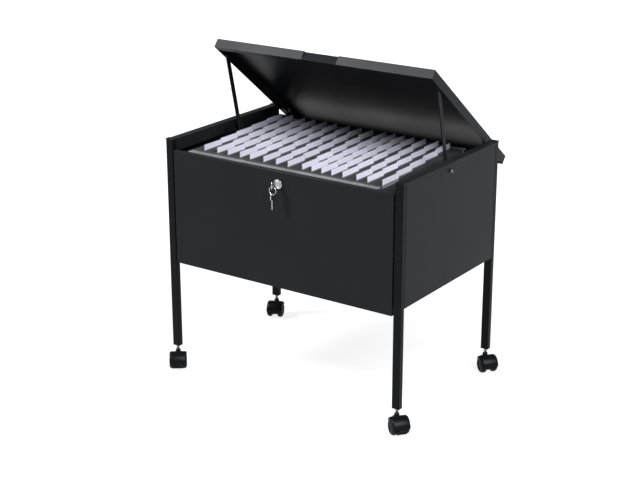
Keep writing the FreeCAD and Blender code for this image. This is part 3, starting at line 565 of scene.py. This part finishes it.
class FILECART_OT_lid(bpy.types.Operator):
    """Finish the lid, its stays, brackets, pins and guide channels"""
    bl_idname = "filecart.lid"
    bl_label = "Lid and stays"

    def execute(self, context):
        edge = context.scene.file_cart_sizes.edge_rounding
        coat = bpy.data.materials["powder_coated_steel"]
        steel = bpy.data.materials["zinc_plated_steel"]
        dress(("lid",), coat, 0.0)
        dress(("lid_guide_channels", "left_stay", "right_stay", "stay_brackets",
               "hinge_brackets"), coat, edge)
        dress(("hinge_pins",), steel, edge)
        # These plated parts get a darkened metal colour: painted reflection of dark surroundings
        dress(("bracket_studs", "stay_pins", "cap_bolts"),
              plated_metal("blackened_steel", to_linear("#3a3b3e"), 0.34, 0.10, 0.2), edge)
        dress(("slider_blocks",), bpy.data.materials["moulded_nylon_cap"], edge)
        return {"FINISHED"}


class FILECART_OT_nuts(bpy.types.Operator):
    """Make the two acorn nuts on the side panels"""
    bl_idname = "filecart.nuts"
    bl_label = "Acorn nuts"

    def execute(self, context):
        build = bmesh.new()
        sphere = (nut_dome_radius ** 2 + nut_dome_height ** 2) / (2 * nut_dome_height)
        sweep = math.asin(nut_dome_radius / sphere)
        dome = [(sphere * math.sin(sweep * (1 - step / 8)),
                 nut_hex_height + nut_dome_height - sphere
                 + sphere * math.cos(sweep * (1 - step / 8))) for step in range(9)]
        outline = [(0.0, nut_chamfer)] + [(nut_dome_radius, nut_chamfer)] + dome
        for side in (-1, 1):
            turn = Matrix.Translation((side * half_width, nut_y, nut_z))
            turn = turn @ Matrix.Rotation(side * math.pi / 2, 4, "Y")
            add_turned(build, outline, 32, turn)
            hexagon = [(nut_hex_radius - nut_chamfer, 0.0), (nut_hex_radius, nut_chamfer),
                       (nut_hex_radius, nut_hex_height - nut_chamfer),
                       (nut_hex_radius - nut_chamfer, nut_hex_height), (0.0, nut_hex_height),
                       (0.0, 0.0)]
            add_turned(build, hexagon, 6, turn)
        mesh = finish_mesh("acorn_nuts", build)
        # The nut's plating colour is darkened to paint in the reflection of dark surroundings
        add_piece("acorn_nuts", mesh,
                  plated_metal("black_nickel_nut", to_linear("#6b6c70"), 0.16, 0.08, 0.12), "frame",
                  ("cap_nuts",))
        return {"FINISHED"}


class FILECART_OT_lock(bpy.types.Operator):
    """Finish the lock and cut its two keys and their ring"""
    bl_idname = "filecart.lock"
    bl_label = "Lock, keys and ring"

    def execute(self, context):
        chrome = plated_metal("chromed_brass", to_linear("#d9dade"), 0.10, 0.08, 0.12)
        steel = bpy.data.materials["zinc_plated_steel"]
        dress(("lock_housing", "lock_barrel"), chrome, 0.0003)
        dress(("lock_nut", "lock_cam", "cam_screw"), steel, 0.0003)
        nickel = plated_metal("nickel_plated_key", to_linear("#cfcfd0"), 0.18, 0.10, 0.25)
        low = lock_z - key_bow_half
        high = lock_z + key_bow_half
        bow = rounded([(key_front, low, key_bow_corner), (key_back, low, key_bow_corner / 2),
                       (key_back, high, key_bow_corner / 2), (key_front, high, key_bow_corner)])
        # The neck leaves the bow on the side of the lock
        outline = []
        for y, z in bow:
            outline.append((y, z))
            if abs(y - key_back) < 1e-6 and abs(z - (low + key_bow_corner / 2)) < 1e-3:
                outline += [(key_back, lock_z - key_neck_half), (key_tip, lock_z - key_neck_half),
                            (key_tip, lock_z + key_neck_half), (key_back, lock_z + key_neck_half)]
        mesh = flat_plate("cut_key_in_lock",
                          [outline, circle(key_hole_y, lock_z, key_hole_radius)],
                          key_sheet, key_edge)
        add_piece("cut_key_in_lock", mesh, nickel, "lock_plug", ("key_in_lock",))

        half = spare_bow / 2
        bottom = spare_top - spare_bow
        tip = spare_top - spare_length
        bow = rounded([(key_hole_y - half, spare_top, spare_bow_corner),
                       (key_hole_y - half, bottom, spare_bow_corner / 2),
                       (key_hole_y + half, bottom, spare_bow_corner / 2),
                       (key_hole_y + half, spare_top, spare_bow_corner)])
        front = key_hole_y - spare_blade_half
        back = key_hole_y + spare_blade_half
        blade = [(front, bottom), (front, tip + 0.002), (front + 0.002, tip), (back - 0.002, tip)]
        height = tip + 0.0015
        for depth in spare_cuts:
            blade += [(back - depth, height + spare_cut_step * 0.3),
                      (back - depth, height + spare_cut_step * 0.6),
                      (back - 0.0002, height + spare_cut_step)]
            height += spare_cut_step
        blade.append((back, bottom))
        split = len(bow) // 2
        outline = bow[:split] + blade + bow[split:]
        mesh = flat_plate("cut_spare_key",
                          [outline, circle(key_hole_y, spare_hole_z, key_hole_radius)],
                          key_sheet, key_edge)
        add_piece("cut_spare_key", mesh, nickel, "spare_key", ("spare_key",))

        drawing = bpy.data.curves.new("split_ring", "CURVE")
        drawing.dimensions = "3D"
        drawing.bevel_depth = ring_wire
        drawing.bevel_resolution = 3
        drawing.use_fill_caps = True
        line = drawing.splines.new("POLY")
        steps = 96
        line.points.add(steps)
        for step, point in enumerate(line.points):
            angle = 2 * math.pi * ring_turns * step / steps + 0.6
            shift = (step / steps - 0.5) * ring_turns * 2 * ring_wire
            point.co = (ring_radius * math.cos(angle), key_hole_y + shift,
                        ring_center_z + ring_radius * math.sin(angle), 1)
        holder = bpy.data.objects.new("split_ring", drawing)
        mesh = bpy.data.meshes.new_from_object(holder)
        bpy.data.objects.remove(holder)
        add_piece("split_ring", sharpened(mesh), chrome, "key_ring", ("key_ring",))
        return {"FINISHED"}


class FILECART_OT_files(bpy.types.Operator):
    """Make the eighty hanging files with their bars, tabs and labels"""
    bl_idname = "filecart.files"
    bl_label = "Hanging files"

    def execute(self, context):
        sizes = context.scene.file_cart_sizes
        chance = random.Random(7)
        cards = bmesh.new()
        card_shade = cards.verts.layers.float.new("shade")
        bars = bmesh.new()
        sleeves = bmesh.new()
        labels = bmesh.new()
        label_shade = labels.verts.layers.float.new("shade")
        section = [(-card_hem_half, card_hem_bottom), (-card_hem_half, card_top - 0.0004),
                   (-card_hem_half - 0.0003, card_top), (-card_half + 0.0003, card_top),
                   (-card_half, card_top - 0.0004), (-card_half, card_hem_bottom),
                   (-card_half, 0.44), (-card_half, card_bottom + card_fold),
                   (-card_half / 2, card_bottom + card_fold / 5), (0.0, card_bottom)]
        section += [(-x, z) for x, z in reversed(section[:-1])]
        top = tab_bottom + sizes.tab_height
        x = first_file_x
        for gap in group_gaps:
            for place in range(tab_places):
                file_x = x - place * gap / tab_places
                shade = chance.uniform(0.1, 0.5)
                phase = chance.uniform(0, 2 * math.pi)
                loops = []
                for step in range(card_steps + 1):
                    y = card_half_depth * (2 * step / card_steps - 1)
                    wave = card_wave * math.sin(3 * math.pi * step / card_steps + phase)
                    loop = []
                    for u, z in section:
                        sway = wave * max(0.0, card_hem_bottom - z) / 0.1
                        vert = cards.verts.new((file_x + u + min(max(sway, -0.0005), 0.0005),
                                                y, z))
                        vert[card_shade] = shade
                        loop.append(vert)
                    loops.append(loop)
                for here, there in zip(loops, loops[1:]):
                    for i in range(len(section) - 1):
                        cards.faces.new((here[i], here[i + 1], there[i + 1], there[i]))
                nose = bar_half_length - 0.004
                bar = [(-bar_half_length, bar_bottom + 0.005), (-nose, bar_bottom),
                       (nose, bar_bottom), (bar_half_length, bar_bottom + 0.005),
                       (bar_half_length, bar_top - 0.003), (nose + 0.001, bar_top),
                       (-nose - 0.001, bar_top), (-bar_half_length, bar_top - 0.003)]
                notched = []
                for index, point in enumerate(bar):
                    notched.append(point)
                    if index == 1:
                        notched += [(-bar_notch_outer, bar_bottom),
                                    (-bar_notch_outer + 0.0005, bar_notch_top),
                                    (-bar_notch_inner - 0.0005, bar_notch_top),
                                    (-bar_notch_inner, bar_bottom), (bar_notch_inner, bar_bottom),
                                    (bar_notch_inner + 0.0005, bar_notch_top),
                                    (bar_notch_outer - 0.0005, bar_notch_top),
                                    (bar_notch_outer, bar_bottom)]
                for side in (-1, 1):
                    middle = file_x + side * bar_x
                    add_prism(bars, notched, middle - bar_sheet / 2, middle + bar_sheet / 2, "X")
                tab_y = -tab_span + place * 2 * tab_span / (tab_places - 1)
                front = tab_y - sizes.tab_width / 2
                back = tab_y + sizes.tab_width / 2
                tab_x = file_x + 0.002
                sleeve = rounded([(front, tab_bottom, tab_corner / 2),
                                  (back, tab_bottom, tab_corner / 2),
                                  (back, top, tab_corner), (front, top, tab_corner)], 3)
                add_prism(sleeves, sleeve, tab_x, tab_x + tab_sheet, "X")
                card = [(front + label_inset, label_bottom), (back - label_inset, label_bottom),
                        (back - label_inset, top - label_inset),
                        (front + label_inset, top - label_inset)]
                first = len(labels.verts)
                middle = tab_x + tab_sheet / 2
                add_prism(labels, card, middle - label_sheet / 2, middle + label_sheet / 2, "X")
                labels.verts.ensure_lookup_table()
                shade = chance.uniform(0.5, 0.9)
                for vert in labels.verts[first:]:
                    vert[label_shade] = shade
            x -= gap
        mesh = bpy.data.meshes.new("folder_cards")
        cards.to_mesh(mesh)
        cards.free()
        piece = add_piece("folder_cards", sharpened(mesh), pressed_card(), "files",
                          ("file_pockets",))
        skin = piece.modifiers.new("sheet", "SOLIDIFY")
        skin.thickness = card_sheet
        skin.offset = 0.0
        piece = add_piece("folder_bars", finish_mesh("folder_bars", bars),
                          moulded_nylon("nylon_coated_bar_steel", to_linear("#8c8e91"), 0.42),
                          "files",
                          ("file_bars",))
        round_off(piece, bar_edge, 1)
        piece = add_piece("tab_sleeves", finish_mesh("tab_sleeves", sleeves), clear_film(),
                          "files", ("file_tabs",))
        add_piece("tab_labels", finish_mesh("tab_labels", labels), label_paper(), "files")
        return {"FINISHED"}


class FILECART_OT_casters(bpy.types.Operator):
    """Make the four twin-wheel casters, two of them with a brake pedal"""
    bl_idname = "filecart.casters"
    bl_label = "Casters"

    def hood(self, braked):
        """The fender over both wheels, the web between them and the neck above."""
        build = bmesh.new()
        outline = [(radius, -side) for radius, side in hood_section]
        outline += [(radius, side) for radius, side in reversed(hood_section)]
        add_swept(build, outline, hood_start_angle, hood_end_angle, 40)
        low = math.degrees(math.asin((web_bottom - wheel_radius) / web_radius))
        disc = [(trail + web_radius * math.cos(math.radians(angle)),
                 wheel_radius + web_radius * math.sin(math.radians(angle)))
                for angle in [low + (180 - 2 * low) * step / 40 for step in range(41)]]
        add_prism(build, disc, -web_half_width, web_half_width, "Y")
        bridge = [(web_radius - 0.001, -web_half_width), (hood_inner_radius + 0.0004, -web_half_width),
                  (hood_inner_radius + 0.0004, web_half_width), (web_radius - 0.001, web_half_width)]
        add_swept(build, bridge, hood_start_angle, hood_end_angle, 40)
        neck = [(neck_bore_radius, hood_inner_radius + 0.014), (neck_flare_radius, neck_flare_bottom - 0.002),
                (neck_flare_radius, neck_flare_bottom)]
        for step in range(1, 7):
            t = step / 6
            swing = math.cos(math.pi / 2 * t)
            neck.append((neck_radius + (neck_flare_radius - neck_radius) * (1 - math.sin(math.pi / 2 * t)),
                         neck_flare_bottom + (neck_flare_top - neck_flare_bottom) * (1 - swing)))
        neck += [(neck_radius, neck_top - 0.0006), (neck_radius - 0.0006, neck_top),
                 (neck_bore_radius, neck_top)]
        add_turned(build, neck, 40)
        if braked:
            angle = math.radians(pedal_pin_angle)
            pin = (trail + pedal_pin_distance * math.cos(angle),
                   wheel_radius + pedal_pin_distance * math.sin(angle))
            lug = circle(pin[0], pin[1], 0.0026, 20)
            add_prism(build, lug, -web_half_width, web_half_width, "Y")
            arm = [(trail + 0.014, pin[1] - 0.0026), (pin[0], pin[1] - 0.0026),
                   (pin[0], pin[1] + 0.0026), (trail + 0.014, pin[1] + 0.0026)]
            add_prism(build, arm, -web_half_width, web_half_width, "Y")
        return build

    def wheel(self, side):
        """One moulded wheel with a seam between tread and dished hub."""
        build = bmesh.new()
        edge = tread_round
        outline = [(0.0026, wheel_inner), (wheel_radius - edge, wheel_inner),
                   (wheel_radius - 0.3 * edge, wheel_inner + 0.3 * edge),
                   (wheel_radius, wheel_inner + edge), (wheel_radius, wheel_outer - 2 * edge),
                   (wheel_radius - 0.3 * edge, wheel_outer - 0.9 * edge),
                   (wheel_radius - edge, wheel_outer - 0.2 * edge),
                   (wheel_radius - 1.8 * edge, wheel_outer),
                   (tread_seam_radius + 0.0004, wheel_outer),
                   (tread_seam_radius, wheel_outer - tread_seam_depth),
                   (tread_seam_radius - 0.0004, wheel_outer),
                   (hub_radius + 0.0012, wheel_outer), (hub_radius + 0.0003, wheel_outer - 0.0005),
                   (hub_radius, wheel_outer - hub_dish), (0.0062, wheel_outer - hub_dish),
                   (0.0054, wheel_outer - hub_dish + 0.0005), (0.0, wheel_outer - hub_dish + 0.0008),
                   (0.0, 0.0186), (0.0026, 0.0186)]
        turn = Matrix.Translation((trail, 0, wheel_radius)) @ Matrix.Rotation(-math.pi / 2, 4, "X")
        if side < 0:
            turn = Matrix.Scale(-1, 4, (0, 1, 0)) @ turn
        add_turned(build, outline, 56, turn)
        return build

    def pedal(self):
        """The curved brake pedal with raised grip ribs."""
        build = bmesh.new()
        slab = [(pedal_inner_radius, -pedal_half_width), (pedal_outer_radius, -pedal_half_width),
                (pedal_outer_radius, pedal_half_width), (pedal_inner_radius, pedal_half_width)]
        # The slab is slotted about the lug of the hood
        for low, high in ((-pedal_half_width, -web_half_width - 0.0004),
                          (web_half_width + 0.0004, pedal_half_width)):
            cheek = [(pedal_inner_radius, low), (pedal_outer_radius, low),
                     (pedal_outer_radius, high), (pedal_inner_radius, high)]
            add_swept(build, cheek, pedal_start_angle, pedal_end_angle, 12)
        add_swept(build, slab, pedal_start_angle, -20.0, 6)
        for angle in pedal_rib_angles:
            spread = math.degrees(pedal_rib_width / pedal_outer_radius) / 2
            sides = ((-pedal_half_width + 0.001, pedal_half_width - 0.001),)
            if angle > -20.0:
                sides = ((-pedal_half_width + 0.001, -web_half_width - 0.0006),
                         (web_half_width + 0.0006, pedal_half_width - 0.001))
            for low, high in sides:
                rib = [(pedal_outer_radius - 0.0002, low),
                       (pedal_outer_radius + pedal_rib_height, low),
                       (pedal_outer_radius + pedal_rib_height, high),
                       (pedal_outer_radius - 0.0002, high)]
                add_swept(build, rib, angle - spread, angle + spread, 2)
        return build

    def execute(self, context):
        colours = context.scene.file_cart_colours
        nylon = moulded_nylon("moulded_nylon_hood", (*colours.nylon, 1.0), 0.34)
        tread = moulded_nylon("moulded_polyurethane", (*colours.tread, 1.0), 0.42)
        dress(("caster_stems",), bpy.data.materials["zinc_plated_steel"], 0.0003)
        for corner, angle in caster_angles.items():
            side = -1 if "left" in corner else 1
            end = -1 if "front" in corner else 1
            turn = Matrix.Translation((side * post_mid_x, end * post_mid_y, 0))
            turn = turn @ Matrix.Rotation(math.radians(angle), 4, "Z")
            braked = "front" in corner
            dress((corner + "_axle",), bpy.data.materials["zinc_plated_steel"], 0.0003)
            jobs = [("_hood_shell", self.hood(braked), "_caster", "_caster_hood", nylon),
                    ("_tyre_a", self.wheel(1), "_wheel_a", "_wheel_a", tread),
                    ("_tyre_b", self.wheel(-1), "_wheel_b", "_wheel_b", tread)]
            if braked:
                jobs.append(("_pedal_plate", self.pedal(), "_brake", "_brake_pedal", nylon))
            for ending, build, body, node, material in jobs:
                mesh = finish_mesh(corner + ending, build)
                mesh.transform(turn)
                piece = add_piece(corner + ending, mesh, material, corner + body,
                                  (corner + node,))
                round_off(piece, 0.0003)
        return {"FINISHED"}


class FILECART_OT_stage(bpy.types.Operator):
    """Set the floor, the soft light and the camera"""
    bl_idname = "filecart.stage"
    bl_label = "Stage"

    def execute(self, context):
        scene = context.scene
        studio = scene.file_cart_studio
        scene.view_settings.view_transform = "Standard"
        mesh = bpy.data.meshes.new("floor")
        reach = 40.0
        mesh.from_pydata([(-reach, -reach, 0), (reach, -reach, 0), (reach, reach, 0),
                          (-reach, reach, 0)], [], [(0, 1, 2, 3)])
        floor = bpy.data.objects.new("floor", mesh)
        floor.data.materials.append(studio_floor())
        scene.collection.objects.link(floor)

        world = bpy.data.worlds.new("studio")
        world.use_nodes = True
        tree = world.node_tree
        tree.nodes.clear()
        sky = add_node(tree, "ShaderNodeBackground", Color=(1.0, 1.0, 1.0, 1.0),
                       Strength=studio.world_level)
        add_node(tree, "ShaderNodeOutputWorld", Surface=sky.outputs[0])
        scene.world = world

        for name, level, spread, place in (
                ("key_light", studio.key_level, 40, (2.2, -1.0, 2.6)),
                ("fill_light", studio.fill_level, 14, (-1.65, -1.53, 2.1))):
            light = bpy.data.lights.new(name, "SUN")
            light.energy = level * math.pi
            light.angle = math.radians(spread)
            holder = bpy.data.objects.new(name, light)
            holder.location = place
            holder.rotation_euler = Vector(place).to_track_quat("Z", "Y").to_euler()
            scene.collection.objects.link(holder)

        camera = bpy.data.objects.new("camera", bpy.data.cameras.new("camera"))
        camera.data.lens = camera_lens
        camera.location = camera_place
        camera.rotation_euler = Euler((math.radians(90 - camera_pitch), 0,
                                       math.radians(camera_yaw)))
        scene.collection.objects.link(camera)
        scene.camera = camera
        return {"FINISHED"}


class FILECART_PT_panel(bpy.types.Panel):
    """Lists the steps and values of the file cart"""
    bl_idname = "FILECART_PT_panel"
    bl_label = "File cart"
    bl_space_type = "VIEW_3D"
    bl_region_type = "UI"
    bl_category = "File cart"

    def draw(self, context):
        for group in (context.scene.file_cart_sizes, context.scene.file_cart_colours,
                      context.scene.file_cart_studio):
            for name in group.__annotations__:
                self.layout.prop(group, name)
        for step in steps:
            self.layout.operator(step.bl_idname)


groups = {
    "file_cart_sizes": FileCartSizes,
    "file_cart_colours": FileCartColours,
    "file_cart_studio": FileCartStudio,
}
steps = (FILECART_OT_frame, FILECART_OT_lid, FILECART_OT_nuts, FILECART_OT_lock,
         FILECART_OT_files, FILECART_OT_casters, FILECART_OT_stage)


def register():
    for name, group in groups.items():
        bpy.utils.register_class(group)
        setattr(bpy.types.Scene, name, bpy.props.PointerProperty(type=group))
    for step in (*steps, FILECART_PT_panel):
        bpy.utils.register_class(step)


def unregister():
    for step in (*steps, FILECART_PT_panel):
        bpy.utils.unregister_class(step)
    for name, group in groups.items():
        delattr(bpy.types.Scene, name)
        bpy.utils.unregister_class(group)


def main():
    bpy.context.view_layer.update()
    register()
    bpy.ops.filecart.frame()
    bpy.ops.filecart.lid()
    bpy.ops.filecart.nuts()
    bpy.ops.filecart.lock()
    bpy.ops.filecart.files()
    bpy.ops.filecart.casters()
    bpy.ops.filecart.stage()


if __name__ == "__main__":
    main()
